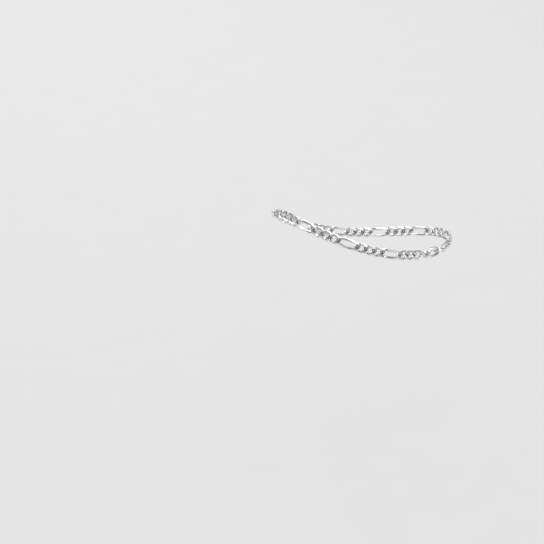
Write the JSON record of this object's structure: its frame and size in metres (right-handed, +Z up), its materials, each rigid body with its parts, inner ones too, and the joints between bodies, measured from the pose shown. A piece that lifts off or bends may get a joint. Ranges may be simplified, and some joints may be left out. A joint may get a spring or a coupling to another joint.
{
  "type": "figaro chain anklet",
  "caption": "Closed figaro chain anklet of flat twisted oval links, short ones between long ones, fastened by a small lobster clasp between two jump rings, in its worn form.",
  "frame": {"origin": "middle of the worn loop, where the ankle goes through it", "axes": "+Z up the leg, -X to the toes, +X to the heel, -Y to the outer side of the foot"},
  "size_m": [0.0885, 0.0677, 0.0342],
  "materials": {
    "silver": "polished silver"
  },
  "bodies": {
    "root": {"long_link_1": "silver", "long_link_2": "silver", "long_link_3": "silver", "long_link_4": "silver", "long_link_5": "silver", "long_link_6": "silver", "long_link_7": "silver", "long_link_8": "silver", "long_link_9": "silver", "long_link_10": "silver", "long_link_11": "silver", "short_link_1": "silver", "short_link_2": "silver", "short_link_3": "silver", "short_link_4": "silver", "short_link_5": "silver", "short_link_6": "silver", "short_link_7": "silver", "short_link_8": "silver", "short_link_9": "silver", "short_link_10": "silver", "short_link_11": "silver", "short_link_12": "silver", "short_link_13": "silver", "short_link_14": "silver", "short_link_15": "silver", "short_link_16": "silver", "short_link_17": "silver", "short_link_18": "silver", "short_link_19": "silver", "short_link_20": "silver", "short_link_21": "silver", "short_link_22": "silver", "short_link_23": "silver", "short_link_24": "silver", "short_link_25": "silver", "short_link_26": "silver", "short_link_27": "silver", "short_link_28": "silver", "short_link_29": "silver", "short_link_30": "silver", "short_link_31": "silver", "short_link_32": "silver", "short_link_33": "silver", "eye_ring": "silver", "clasp": "silver", "hook_ring": "silver"}
  },
  "joints": []
}
